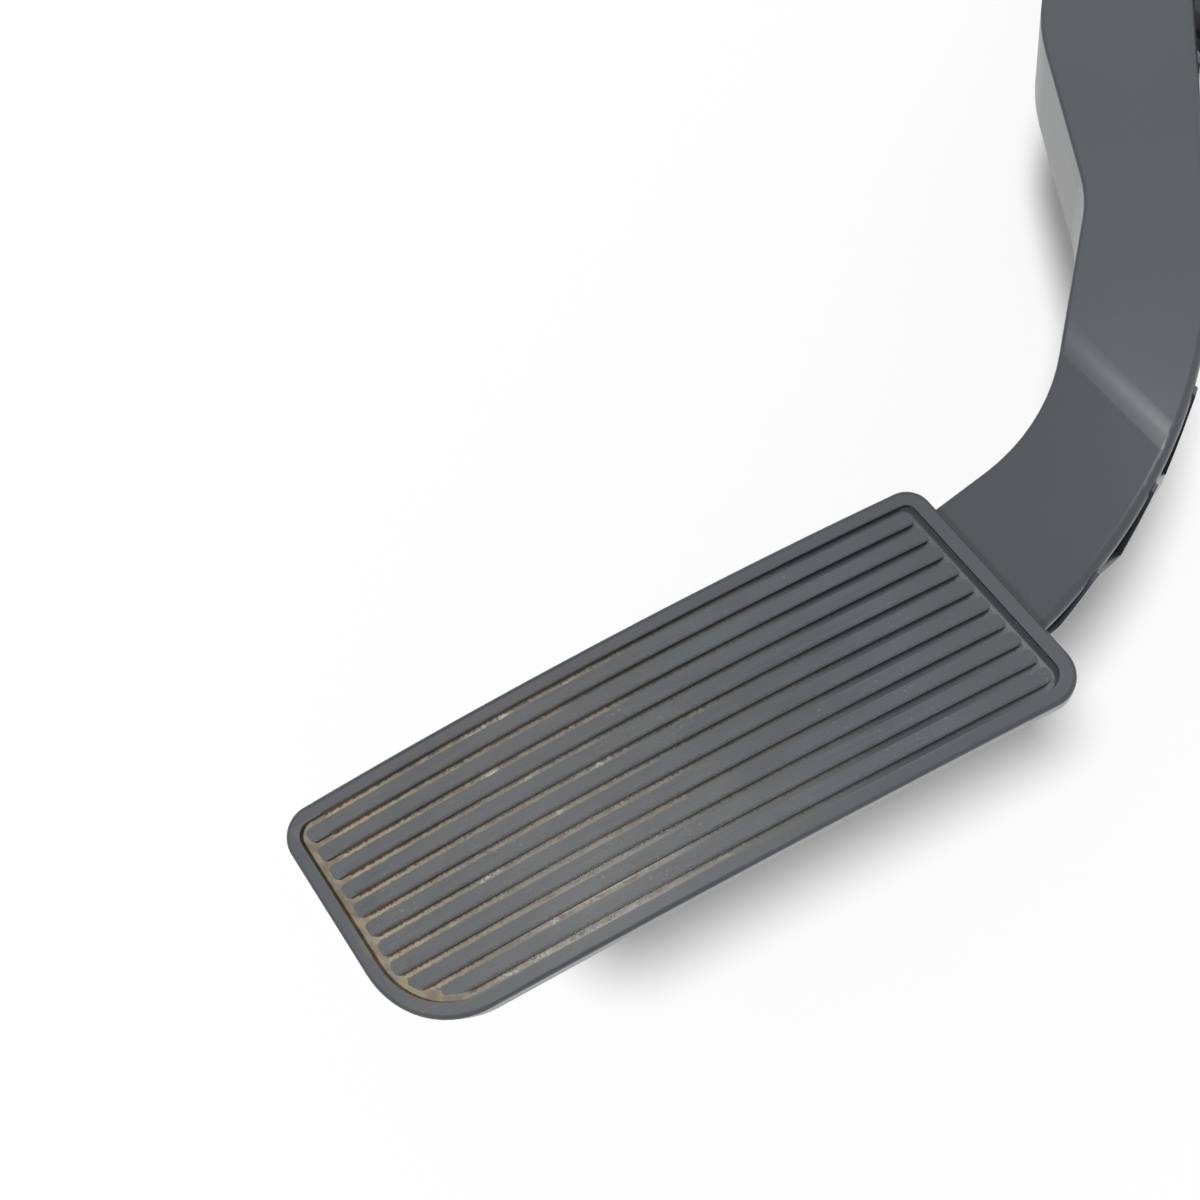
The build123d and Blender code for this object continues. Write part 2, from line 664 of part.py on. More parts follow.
with BuildPart() as housing:
    # Body in side view, rounded along its flanks
    with BuildSketch(Plane.YZ):
        with BuildLine():
            FilletPolyline(
                (HOUSING_FRONT_Y, 0),
                (HOUSING_FRONT_Y, FRONT_SIDE_Z),
                (ROOF_FRONT_Y, HOUSING_TOP_Z),
                (rear_y, HOUSING_TOP_Z),
                (rear_y, 0),
                radius=[ROOF_ROUND, ROOF_ROUND, HOUSING_ROUND, 0, 0],
                close=True,
            )
        make_face()
    extrude(amount=outer_half, both=True)
    for flank in (housing.faces().sort_by(Axis.X)[0], housing.faces().sort_by(Axis.X)[-1]):
        fillet(flank.edges().filter_by(lambda e: e.center().Z > FRONT_SIDE_Z / 2), HOUSING_ROUND)
    # Mounting flange and lugs
    with BuildSketch():
        with PolarLocations(bolt_r, LUG_COUNT, LUG_START_DEG):
            Circle(FLANGE_R)
        make_hull()
    extrude(amount=FLOOR)
    with BuildSketch():
        with PolarLocations(bolt_r, LUG_COUNT, LUG_START_DEG):
            Circle(LUG_R)
    extrude(amount=LUG_HEIGHT)
    with BuildSketch(Plane.XZ.offset(-lug_y)):
        with BuildLine():
            Polyline(
                (0, 0),
                (0, GUSSET_Z),
                (outer_half, GUSSET_Z),
                (lug_x, LUG_HEIGHT),
                (lug_x, 0),
                close=True,
            )
        make_face()
        mirror(about=Plane.YZ)
    extrude(amount=GUSSET / 2, both=True)
    # Sensor chamber on the right flank and a collar round the shaft end on the left
    extrude(chamber_outline(INNER_HALF), amount=WALL + CHAMBER_DEPTH)
    with BuildSketch(on_pivot(-outer_half)):
        Circle(COLLAR_R)
        Circle(COLLAR_R - COLLAR_WALL, mode=Mode.SUBTRACT)
    extrude(amount=-COLLAR_HEIGHT)
    # Inside: spring well, friction track about the pivot and the mouth that the arm comes out of
    with BuildSketch(Plane.YZ):
        with Locations((PIVOT_Y, PIVOT_Z)):
            Circle(TRACK_R)
        with Locations((PIVOT_Y, FLOOR)):
            Rectangle(
                PIVOT_Y - HOUSING_FRONT_Y - FRONT_WALL, tall, align=(Align.MAX, Align.MIN)
            )
        with Locations((PIVOT_Y, FRONT_WALL_Z)):
            Rectangle(tall, tall, align=(Align.MAX, Align.MIN))
    extrude(amount=INNER_HALF, both=True, mode=Mode.SUBTRACT)
    # Seats of the end stops and the spring
    add_pedestal(IDLE_BUFFER_Y, idle_base_z)
    add_pedestal(full_stop_y, full_stop_base_z)
    with BuildSketch(Plane.XY.offset(FLOOR)):
        with Locations((0, SPRING_Y)):
            Circle(SPIGOT_R)
    extrude(amount=SPIGOT_HEIGHT)
    # Bush seats, chamber opening with the board's ledge, screw and sleeve holes
    with BuildSketch(on_pivot(-outer_half)):
        Circle(BUSH_R + FIT)
    extrude(amount=2 * outer_half, mode=Mode.SUBTRACT)
    with BuildSketch(on_pivot(board_seat)):
        RectangleRounded(*chamber_opening())
    extrude(amount=CHAMBER_DEPTH, mode=Mode.SUBTRACT)
    with BuildSketch(on_pivot(outer_half)):
        RectangleRounded(*chamber_opening(LEDGE))
    extrude(amount=CHAMBER_DEPTH, mode=Mode.SUBTRACT)
    with BuildSketch(on_pivot(chamber_face)):
        with Locations(*ear_places()):
            Circle(SCREW_R + FIT)
    extrude(amount=-SCREW_LENGTH, mode=Mode.SUBTRACT)
    with BuildSketch(Plane.XY.offset(HOUSING_TOP_Z)):
        with Locations(*cover_screws):
            Circle(SCREW_R + FIT)
    extrude(amount=-SCREW_LENGTH, mode=Mode.SUBTRACT)
    with BuildSketch():
        with PolarLocations(bolt_r, LUG_COUNT, LUG_START_DEG):
            Circle(SLEEVE_R + FIT)
    extrude(amount=LUG_HEIGHT, mode=Mode.SUBTRACT)
housing.part.label = "housing"
export_step(housing.part, "parts/housing.step")

with BuildPart() as top_cover:
    with BuildSketch(Plane.XY.offset(HOUSING_TOP_Z)):
        with Locations((0, rear_y)):
            Rectangle(2 * outer_half, rear_y - ROOF_FRONT_Y, align=(Align.CENTER, Align.MAX))
    extrude(amount=COVER_PLATE)
    fillet(top_cover.faces().sort_by(Axis.Z)[-1].edges(), COVER_ROUND)
    # Lips that drop inside the two walls
    lip_x = INNER_HALF - COVER_LIP_GAP
    with BuildSketch(Plane.XY.offset(HOUSING_TOP_Z)):
        with Locations((lip_x, PIVOT_Y), (COVER_LIP - lip_x, PIVOT_Y)):
            Rectangle(COVER_LIP, PIVOT_Y - ROOF_FRONT_Y - COVER_LIP, align=(Align.MAX, Align.MAX))
    extrude(amount=-COVER_LIP_DEPTH)
    with BuildSketch(Plane.XY.offset(HOUSING_TOP_Z)):
        with Locations(*cover_screws):
            Circle(SCREW_R + SCREW_CLEARANCE)
    extrude(amount=COVER_PLATE, mode=Mode.SUBTRACT)
top_cover.part.label = "top_cover"
export_step(top_cover.part, "parts/top_cover.step")

with BuildPart() as top_cover_screws:
    for x, y in cover_screws:
        add_screw(Plane((x, y, cover_top_z)))
top_cover_screws.part.label = "top_cover_screws"
export_step(top_cover_screws.part, "parts/top_cover_screws.step")

with BuildPart() as pivot_shaft:
    with BuildSketch(on_pivot(shaft_left)):
        Circle(SHAFT_R)
    extrude(amount=shaft_end - shaft_left)
    chamfer(pivot_shaft.edges().filter_by(GeomType.CIRCLE), SHAFT_CHAMFER)
    with BuildSketch(on_pivot(groove_end)):
        Circle(RING_R)
        Circle(SHAFT_R - RING_GROOVE, mode=Mode.SUBTRACT)
    extrude(amount=ring_face + RING_PLAY - groove_end, mode=Mode.SUBTRACT)
pivot_shaft.part.label = "pivot_shaft"
export_step(pivot_shaft.part, "parts/pivot_shaft.step")

with BuildPart() as left_bush:
    add_bush(-1)
left_bush.part.label = "left_bush"
export_step(left_bush.part, "parts/left_bush.step")

with BuildPart() as right_bush:
    add_bush(1)
right_bush.part.label = "right_bush"
export_step(right_bush.part, "parts/right_bush.step")

with BuildPart() as thrust_washers:
    for side in (-1, 1):
        with BuildSketch(on_pivot(side * (arm_root_half + WASHER_PLAY))):
            Circle(BUSH_FLANGE_R)
            Circle(SHAFT_R + SHAFT_RUNNING, mode=Mode.SUBTRACT)
        extrude(amount=side * WASHER)
thrust_washers.part.label = "thrust_washers"
export_step(thrust_washers.part, "parts/thrust_washers.step")

with BuildPart() as retaining_ring:
    with BuildSketch(on_pivot(ring_face)):
        Circle(RING_R)
        Circle(SHAFT_R - RING_GROOVE + RING_PLAY, mode=Mode.SUBTRACT)
        Rectangle(RING_MOUTH, RING_R, align=(Align.CENTER, Align.MAX), mode=Mode.SUBTRACT)
    extrude(amount=-RING)
retaining_ring.part.label = "retaining_ring"
export_step(retaining_ring.part, "parts/retaining_ring.step")

with BuildPart() as outer_return_spring:
    add_spring(OUTER_SPRING_R, OUTER_WIRE_R, OUTER_TURNS)
outer_return_spring.part.label = "outer_return_spring"
export_step(outer_return_spring.part, "parts/outer_return_spring.step")

with BuildPart() as inner_return_spring:
    add_spring(INNER_SPRING_R, INNER_WIRE_R, INNER_TURNS)
inner_return_spring.part.label = "inner_return_spring"
export_step(inner_return_spring.part, "parts/inner_return_spring.step")

with BuildPart() as spring_cup:
    # Flat towards the springs and slanted where it lies against the arm's underside
    with BuildSketch(Plane.XY.offset(CUP_BASE_Z)):
        with Locations((0, SPRING_Y)):
            Circle(CUP_R)
    extrude(amount=tall)
    extrude(below_underside(), amount=wide, both=True, mode=Mode.INTERSECT)
    with BuildSketch(Plane.XY.offset(CUP_BASE_Z)):
        with Locations((0, SPRING_Y)):
            Circle(SPIGOT_R)
    extrude(amount=-SPIGOT_HEIGHT)
spring_cup.part.label = "spring_cup"
export_step(spring_cup.part, "parts/spring_cup.step")

with BuildPart() as friction_shoe:
    # Lining that faces the housing's track, with a tongue in the slot of the arm's tail
    with BuildSketch(on_pivot(-TAIL_HALF)):
        Rectangle(TRACK_R, 2 * TAIL_RISE, align=(Align.MIN, Align.CENTER))
        Circle(TRACK_R - TRACK_GAP, mode=Mode.INTERSECT)
        Circle(TAIL_R + FIT, mode=Mode.SUBTRACT)
        with Locations((TAIL_R - TONGUE_DEPTH + FIT, 0)):
            Rectangle(2 * TONGUE_DEPTH, 2 * (TONGUE_RISE - FIT), align=(Align.MIN, Align.CENTER))
    extrude(amount=2 * TAIL_HALF)
friction_shoe.part.label = "friction_shoe"
export_step(friction_shoe.part, "parts/friction_shoe.step")

with BuildPart() as idle_stop_buffer:
    add_buffer(IDLE_BUFFER_Y, idle_base_z)
idle_stop_buffer.part.label = "idle_stop_buffer"
export_step(idle_stop_buffer.part, "parts/idle_stop_buffer.step")

with BuildPart() as full_stop_buffer:
    add_buffer(full_stop_y, full_stop_base_z)
full_stop_buffer.part.label = "full_stop_buffer"
export_step(full_stop_buffer.part, "parts/full_stop_buffer.step")

with BuildPart() as magnet_carrier:
    with BuildSketch(on_pivot(carrier_base)):
        Circle(CARRIER_R)
    extrude(amount=magnet_base + MAGNET - carrier_base)
    extrude(disc(on_pivot(carrier_base), SHAFT_R + FIT), amount=CARRIER_SOCKET + FIT, mode=Mode.SUBTRACT)
    extrude(disc(on_pivot(magnet_base), MAGNET_R + FIT), amount=MAGNET, mode=Mode.SUBTRACT)
magnet_carrier.part.label = "magnet_carrier"
export_step(magnet_carrier.part, "parts/magnet_carrier.step")

with BuildPart() as sensor_magnet:
    with BuildSketch(on_pivot(magnet_base)):
        Circle(MAGNET_R)
    extrude(amount=MAGNET)
sensor_magnet.part.label = "sensor_magnet"
export_step(sensor_magnet.part, "parts/sensor_magnet.step")

with BuildPart() as sensor_board:
    with BuildSketch(on_pivot(board_seat)):
        RectangleRounded(*chamber_opening(BOARD_GAP))
    extrude(amount=BOARD)
sensor_board.part.label = "sensor_board"
export_step(sensor_board.part, "parts/sensor_board.step")

with BuildPart() as hall_sensors:
    with BuildSketch(on_pivot(board_seat)):
        with GridLocations(CHIP_PITCH, 1, CHIP_COUNT, 1):
            Rectangle(CHIP_LONG, CHIP_HIGH)
    extrude(amount=-CHIP)
hall_sensors.part.label = "hall_sensors"
export_step(hall_sensors.part, "parts/hall_sensors.step")

with BuildPart() as cover_seal:
    extrude(chamber_outline(chamber_face), amount=SEAL)
    with BuildSketch(on_pivot(chamber_face)):
        RectangleRounded(*chamber_opening())
        with Locations(*ear_places()):
            Circle(SCREW_R + SCREW_CLEARANCE)
    extrude(amount=SEAL, mode=Mode.SUBTRACT)
cover_seal.part.label = "cover_seal"
export_step(cover_seal.part, "parts/cover_seal.step")

with BuildPart() as sensor_cover:
    extrude(chamber_outline(lid_base), amount=LID)
    chamfer(sensor_cover.faces().sort_by(Axis.X)[-1].edges(), LID_EDGE)
    # Lip that reaches into the chamber and holds the board on its ledge
    with BuildSketch(on_pivot(board_face + LID_LIP_GAP)):
        RectangleRounded(*chamber_opening(LID_LIP_GAP))
        RectangleRounded(*chamber_opening(LID_LIP_GAP + LID_LIP), mode=Mode.SUBTRACT)
    extrude(amount=lid_base - board_face - LID_LIP_GAP)
    # Connector socket with the ramp that the plug's latch snaps over
    with BuildSketch(on_pivot(lid_face)):
        RectangleRounded(SOCKET_LONG, SOCKET_HIGH, SOCKET_CORNER)
        RectangleRounded(
            SOCKET_LONG - 2 * SOCKET_WALL,
            SOCKET_HIGH - 2 * SOCKET_WALL,
            SOCKET_CORNER - SOCKET_WALL,
            mode=Mode.SUBTRACT,
        )
    extrude(amount=SOCKET_DEPTH)
    latch_x = lid_face + SOCKET_DEPTH - LATCH_SETBACK
    latch_z = PIVOT_Z + SOCKET_HIGH / 2
    with BuildSketch(Plane.XZ.offset(-PIVOT_Y)):
        with BuildLine():
            Polyline(
                (latch_x, latch_z),
                (latch_x - LATCH_RUN, latch_z + LATCH_RISE),
                (latch_x - LATCH_RUN, latch_z),
                close=True,
            )
        make_face()
    extrude(amount=LATCH_LONG / 2, both=True)
    with BuildSketch(on_pivot(lid_base)):
        with GridLocations(PIN_PITCH_LONG, PIN_PITCH_HIGH, PIN_COLUMNS, PIN_ROWS):
            Rectangle(PIN + 2 * PIN_GAP, PIN + 2 * PIN_GAP)
        with Locations(*ear_places()):
            Circle(SCREW_R + SCREW_CLEARANCE)
    extrude(amount=LID, mode=Mode.SUBTRACT)
sensor_cover.part.label = "sensor_cover"
export_step(sensor_cover.part, "parts/sensor_cover.step")

with BuildPart() as connector_terminals:
    with BuildSketch(on_pivot(board_face)):
        with GridLocations(PIN_PITCH_LONG, PIN_PITCH_HIGH, PIN_COLUMNS, PIN_ROWS):
            Rectangle(PIN, PIN)
    extrude(amount=lid_face + PIN_REACH - board_face)
connector_terminals.part.label = "connector_terminals"
export_step(connector_terminals.part, "parts/connector_terminals.step")

with BuildPart() as sensor_cover_screws:
    for y, z in ear_places():
        add_screw(Plane((lid_face, PIVOT_Y + y, PIVOT_Z + z), x_dir=(0, 1, 0), z_dir=(1, 0, 0)))
sensor_cover_screws.part.label = "sensor_cover_screws"
export_step(sensor_cover_screws.part, "parts/sensor_cover_screws.step")

with BuildPart() as mount_sleeves:
    with BuildSketch():
        with PolarLocations(bolt_r, LUG_COUNT, LUG_START_DEG):
            Circle(SLEEVE_R)
            Circle(SLEEVE_BORE_R, mode=Mode.SUBTRACT)
    extrude(amount=LUG_HEIGHT)
mount_sleeves.part.label = "mount_sleeves"
export_step(mount_sleeves.part, "parts/mount_sleeves.step")
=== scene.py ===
import json
from math import cos, pi, radians, sin
from types import SimpleNamespace

import bpy
from mathutils import Matrix, Vector


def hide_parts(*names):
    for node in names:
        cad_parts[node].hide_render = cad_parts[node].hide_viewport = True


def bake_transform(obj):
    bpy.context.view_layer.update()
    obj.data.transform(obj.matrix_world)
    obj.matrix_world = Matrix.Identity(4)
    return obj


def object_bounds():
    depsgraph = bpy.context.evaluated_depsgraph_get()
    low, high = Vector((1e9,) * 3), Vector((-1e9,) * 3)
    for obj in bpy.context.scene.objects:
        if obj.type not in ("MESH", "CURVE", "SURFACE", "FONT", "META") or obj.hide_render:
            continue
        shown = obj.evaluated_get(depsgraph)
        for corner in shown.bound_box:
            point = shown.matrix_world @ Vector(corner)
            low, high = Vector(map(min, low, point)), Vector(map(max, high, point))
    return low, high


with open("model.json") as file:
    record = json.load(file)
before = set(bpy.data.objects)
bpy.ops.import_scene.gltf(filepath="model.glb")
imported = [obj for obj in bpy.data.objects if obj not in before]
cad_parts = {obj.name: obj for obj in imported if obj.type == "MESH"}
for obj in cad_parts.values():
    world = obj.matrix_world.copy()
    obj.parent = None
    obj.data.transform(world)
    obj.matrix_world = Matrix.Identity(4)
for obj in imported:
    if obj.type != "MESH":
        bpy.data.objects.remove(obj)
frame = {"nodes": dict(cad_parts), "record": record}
cad_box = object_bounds()

MM = 0.001

# The pad's sizes, as the part's source has them, in millimetres
PAD_MID_X = 95.8
PAD_MID_Y = -267.4
PAD_CROWN_SHIFT = -49.6
PAD_LENGTH = 142.7
PAD_WIDTH = 53.0
PAD_LEAN = radians(9.2)
PAD_ARCH_R = 439.0
PAD_CORNER = 20.0
TREAD_BORDER = 3.2
TREAD_GROOVE = 1.4
TREAD_END_GROOVE = 1.9
TREAD_DEPTH = 1.6
TREAD_PITCH = 4.45

# Where each change begins and is complete, in millimetres along the pad from its middle towards its head
FILM_SETTLES = (72.0, 40.0)
FILM_WARMS = (40.0, -10.0)
HEAD_DARKENS = (44.0, 68.0)
TRODDEN_FROM = (16.0, -12.0)
TRODDEN_TO = (-68.0, -40.0)
FLOORS_DUSTY = (44.0, 18.0)
DUST_REACHES = (45.0, -62.0)
DUST_PACKS = (-40.0, -62.0)
GROOVE_SHADE_THINS = (0.0, 25.0)

# The same across the pad, towards the arm's open side
WALL_DUST = (-26.0, 0.0)
STAIN_FROM = (-8.0, 0.0)
STAIN_TO = (10.0, 4.0)
CREASE_TO = (20.0, 17.5)

# Camera: place and directions in metres, lens and sensor in millimetres
CAMERA_AT = Vector((0.15751, -0.24740, 0.37909))
CAMERA_RIGHT = Vector((0.5778, 0.7784, -0.2454))
CAMERA_AHEAD = Vector((-0.3406, -0.0433, -0.9392))
CAMERA_LENS = 42.0
CAMERA_SENSOR = 36.0
CAMERA_CLIP = 0.01

# Light, in shares of the level at which a white floor is just white
AMBIENT_LEVEL = 0.30
KEY_LEVEL = 0.68
KEY_FROM = Vector((0.02, -0.09, 0.995))
KEY_ANGLE = 0.2
FLOOR_LIFT = 0.06
FLOOR_WHITE = 0.97
FLOOR_SIZE = 8.0

# Two panels behind the arm: a strip that its bend mirrors and a cool window that its upper half mirrors
BEND_AT = Vector((0.085, -0.153, 0.099))
STRIP = {"azimuth": 0.0, "elevation": 44.5, "long": 0.50, "high": 0.14, "radiance": 13.0}
WINDOW = {"azimuth": 18.0, "elevation": 27.0, "long": 0.70, "high": 0.26, "radiance": 0.65}
STRIP_TINT = (1.0, 1.0, 1.0)
WINDOW_TINT = (0.55, 0.75, 1.0)
PANEL_DISTANCE = 1.1


def srgb(*levels):
    """Linear colour of sRGB levels from 0 to 255."""
    parts = [v / 255 for v in levels]
    return [p / 12.92 if p <= 0.04045 else ((p + 0.055) / 1.055) ** 2.4 for p in parts] + [1.0]


# Colours of the pedal, of the dirt on it and of the shade painted on it
SLATE_DARK = srgb(57, 60, 66)
SLATE_LIGHT = srgb(65, 68, 73)
FILM_COOL = srgb(82, 89, 93)
FILM_WARM = srgb(95, 95, 92)
# Near-black for the shade painted in the grooves and the crease, and for the darker trodden face and head
SHADE_AND_GRIME = srgb(36, 34, 34)
# Brown of the shade painted in the grooves where dust lies
DUSTY_SHADE = srgb(54, 44, 38)
DUST_BROWN = srgb(122, 104, 80)
DUST_TAN = srgb(152, 139, 110)
DUST_GREY = srgb(136, 132, 118)
DUST_PALE = srgb(194, 180, 148)
DUST_CREAM = srgb(204, 198, 178)
SCUFF = srgb(160, 161, 160)


class Finish:
    """A material in the making, with short calls for the nodes that it needs."""

    def __init__(self, name):
        self.material = bpy.data.materials.new(name)
        self.material.use_nodes = True
        self.tree = self.material.node_tree
        self.shader = self.tree.nodes["Principled BSDF"]
        place = self.add("TexCoord")
        self.normal = place.outputs["Normal"]
        scaled = {0: place.outputs["Object"], 3: 1 / MM}
        self.mm = self.add("VectorMath", scaled, operation="SCALE").outputs[0]

    def add(self, kind, inputs=None, **settings):
        """A new node with its settings made and its inputs set or linked."""
        made = self.tree.nodes.new("ShaderNode" + kind)
        for key, value in settings.items():
            setattr(made, key, value)
        for key, value in (inputs or {}).items():
            self.feed(made.inputs[key], value)
        return made

    def feed(self, socket, value):
        """Links a socket to another, or sets it."""
        if isinstance(value, bpy.types.NodeSocket):
            self.tree.links.new(value, socket)
        else:
            socket.default_value = value

    def math(self, operation, *values):
        """Result of a sum on numbers or sockets."""
        return self.add("Math", dict(enumerate(values)), operation=operation).outputs[0]

    def total(self, *values):
        """Sum of several numbers or sockets."""
        result = values[0]
        for value in values[1:]:
            result = self.math("ADD", result, value)
        return result

    def product(self, *values):
        """Product of several numbers or sockets."""
        result = values[0]
        for value in values[1:]:
            result = self.math("MULTIPLY", result, value)
        return result

    def most(self, *values):
        """Largest of several numbers or sockets."""
        result = values[0]
        for value in values[1:]:
            result = self.math("MAXIMUM", result, value)
        return result

    def rise(self, value, start, end):
        """Smooth step from 0 at start to 1 at end."""
        inputs = {"Value": value, "From Min": start, "From Max": end}
        return self.add("MapRange", inputs, interpolation_type="SMOOTHSTEP").outputs[0]

    def spread(self, value, low, high):
        """A value from 0 to 1 stretched over another range."""
        return self.add("MapRange", {"Value": value, "To Min": low, "To Max": high}).outputs[0]

    def stretched(self, x, y, z):
        """Coordinates in millimetres, scaled along each axis."""
        return self.add("VectorMath", {0: self.mm, 1: (x, y, z)}, operation="MULTIPLY").outputs[0]

    def noise(self, vector, scale, detail=3.0):
        """Cloudy noise from 0 to 1."""
        return self.add("TexNoise", {"Vector": vector, "Scale": scale, "Detail": detail}).outputs["Fac"]

    def mix(self, factor, first, second):
        """Colour between two colours."""
        made = self.add("Mix", data_type="RGBA")
        for index, value in ((0, factor), (6, first), (7, second)):
            self.feed(made.inputs[index], value)
        return made.outputs[2]

    def bump(self, height, depth):
        """Bumped normal for a height map that is depth millimetres deep."""
        return self.add("Bump", {"Height": height, "Distance": depth * MM, "Strength": 1.0}).outputs[0]

    def set(self, **values):
        """Sets or links inputs of the shader, with underscores for the spaces in their names."""
        for key, value in values.items():
            self.feed(self.shader.inputs[key.replace("_", " ")], value)


def shown_rays(tree):
    """1 for the rays that show the background, to the camera and in gloss and glass, and otherwise 0."""
    path = tree.nodes.new("ShaderNodeLightPath").outputs
    total = path["Is Camera Ray"]
    for name in ("Is Glossy Ray", "Is Transmission Ray"):
        joined = tree.nodes.new("ShaderNodeMath")
        tree.links.new(total, joined.inputs[0])
        tree.links.new(path[name], joined.inputs[1])
        total = joined.outputs[0]
    return total


def pad_place(f):
    """Where a point lies on the pad, in millimetres from its middle, and which way its surface faces."""
    xyz = f.add("SeparateXYZ", {0: f.mm}).outputs
    x = f.math("SUBTRACT", xyz[0], PAD_MID_X)
    y = f.math("SUBTRACT", xyz[1], PAD_MID_Y)
    along = f.total(f.product(y, cos(PAD_LEAN)), f.product(x, sin(PAD_LEAN)))
    across = f.math("SUBTRACT", f.product(x, cos(PAD_LEAN)), f.product(y, sin(PAD_LEAN)))
    lane = f.math("ROUND", f.math("DIVIDE", across, TREAD_PITCH))
    run = f.math("SUBTRACT", y, PAD_CROWN_SHIFT)
    arch = f.math("SQRT", f.math("SUBTRACT", PAD_ARCH_R**2, f.math("POWER", run, 2.0)))
    return SimpleNamespace(
        y=y,
        along=along,
        across=across,
        lane=lane,
        beside=f.math("SUBTRACT", across, f.product(lane, TREAD_PITCH)),
        depth=f.math("SUBTRACT", f.total(arch, cad_box[1].z / MM - PAD_ARCH_R), xyz[2]),
        up=f.add("SeparateXYZ", {0: f.normal}).outputs[2],
    )


def tread_masks(f, at):
    """Masks of the tread: floors and walls of its grooves, its face, tops of its ribs and its end grooves."""
    half_long = PAD_LENGTH / 2 - TREAD_BORDER
    half_wide = PAD_WIDTH / 2 * cos(PAD_LEAN) - TREAD_BORDER
    in_length = f.rise(f.math("ABSOLUTE", at.y), half_long + 0.5, half_long + 0.2)
    in_width = f.rise(f.math("ABSOLUTE", at.across), half_wide + 0.5, half_wide + 0.2)
    shallow = f.rise(at.depth, 1.25 * TREAD_DEPTH, 1.1 * TREAD_DEPTH)
    inside = f.product(in_length, in_width, shallow)
    sunk = f.product(inside, f.rise(at.depth, 0.3 * TREAD_DEPTH, 0.6 * TREAD_DEPTH))
    face = f.product(f.rise(at.depth, 0.3, 0.1), f.rise(at.y, PAD_LENGTH / 2 + 0.2, PAD_LENGTH / 2))
    # The groove round the foot end follows the large corner
    corner = PAD_CORNER - TREAD_BORDER
    to_foot = f.most(f.math("SUBTRACT", corner - half_long, at.along), 0.0)
    to_side = f.most(f.math("SUBTRACT", at.across, half_wide - corner), 0.0)
    radius = f.math("SQRT", f.total(f.math("POWER", to_foot, 2.0), f.math("POWER", to_side, 2.0)))
    in_ring = f.rise(radius, corner - TREAD_END_GROOVE - 0.5, corner - TREAD_END_GROOVE)
    past_ring = f.rise(radius, corner - 0.3, corner + 0.1)
    return SimpleNamespace(
        floor=f.product(sunk, f.rise(at.up, 0.5, 0.8)),
        wall=f.product(inside, f.rise(at.depth, 0.0, 0.2 * TREAD_DEPTH), f.rise(at.up, 0.6, 0.3)),
        face=face,
        tops=f.product(inside, face),
        foot_ring=f.product(in_ring, f.rise(to_foot, 1.0, 5.0)),
        by_ring=f.product(past_ring, f.rise(radius, corner + 2.0, corner)),
        head_ring=f.rise(at.y, half_long - TREAD_END_GROOVE - 0.5, half_long - TREAD_END_GROOVE),
    )


def with_film(f, at, tread, colour):
    """Colour with a film of dust on the pad's face, which is darker where it is trodden and at its head."""
    rubbed = f.add("CombineXYZ", {0: f.product(at.along, 0.10), 1: f.product(at.across, 1.4)}).outputs[0]
    patches = f.noise(f.stretched(0.10, 0.05, 0.05), 1.0, 6.0)
    blotches = f.total(f.product(patches, 0.6), f.product(f.noise(rubbed, 1.0, 4.0), 0.4))
    warm = f.product(f.rise(f.noise(f.mm, 0.12, 4.0), 0.38, 0.62), f.rise(at.along, *FILM_WARMS))
    tint = f.mix(warm, FILM_COOL, FILM_WARM)
    settled = f.rise(at.along, *FILM_SETTLES)
    film = f.product(tread.face, settled, f.rise(blotches, 0.36, 0.64), f.spread(tread.tops, 0.1, 0.45))
    at_head = f.product(f.rise(at.along, *HEAD_DARKENS), 0.25)
    trodden = f.product(f.rise(at.along, *TRODDEN_FROM), f.rise(at.along, *TRODDEN_TO), 0.3)
    return f.mix(f.product(tread.face, f.most(at_head, trodden)), f.mix(film, colour, tint), SHADE_AND_GRIME)


def groove_dust(f, at, tread, ragged):
    """Masks of the dust in the grooves: where it lies, how heavy it is and how tightly it is packed."""
    lanes = f.add("CombineXYZ", {0: f.product(at.along, 0.045), 1: f.product(at.lane, 3.7)}).outputs[0]
    reach = f.rise(at.along, *DUST_REACHES)
    heavy = f.rise(f.total(f.noise(lanes, 1.0, 4.0), f.product(reach, 0.75)), 0.74, 1.0)
    packed = f.rise(at.along, *DUST_PACKS)
    grains = f.rise(f.noise(f.mm, 1.2, 5.0), 0.34, 0.56)
    beside = f.total(at.beside, ragged)
    strip = f.product(f.rise(beside, -0.65, -0.2), f.rise(beside, 0.40, 0.0))
    on_floor = f.product(tread.floor, f.most(strip, tread.foot_ring), heavy, f.most(grains, packed))
    cornered = f.product(tread.foot_ring, f.rise(at.across, *WALL_DUST))
    low = f.rise(at.depth, 0.2 * TREAD_DEPTH, 0.5 * TREAD_DEPTH)
    in_lane = f.math("SUBTRACT", 1.0, tread.foot_ring)
    on_wall = f.product(tread.wall, packed, f.most(f.product(low, in_lane), cornered))
    crumbs = f.product(f.rise(f.noise(lanes, 2.3, 5.0), 0.56, 0.70), f.rise(packed, 0.6, 0.1))
    return SimpleNamespace(mask=f.most(on_floor, on_wall), heavy=heavy, packed=packed, crumbs=crumbs)


def groove_painted_shade(f, at, tread, ragged):
    """Mask of the shade painted in the grooves: on their walls, on the floor at the foot of one wall and on
    the rib's edge above it.
    """
    beside = f.total(at.beside, ragged)
    in_lane = f.math("SUBTRACT", 1.0, f.most(tread.foot_ring, tread.head_ring))
    foot = f.product(tread.floor, in_lane, f.rise(beside, -0.25, -0.50), 0.8)
    edge = -TREAD_GROOVE / 2
    over_edge = f.product(f.rise(beside, edge - 0.65, edge - 0.1), f.rise(at.beside, 0.2, -0.2))
    lip = f.product(tread.tops, in_lane, over_edge, 0.9)
    return f.product(f.most(tread.wall, foot, lip), f.spread(f.rise(at.along, *GROOVE_SHADE_THINS), 0.9, 0.6))


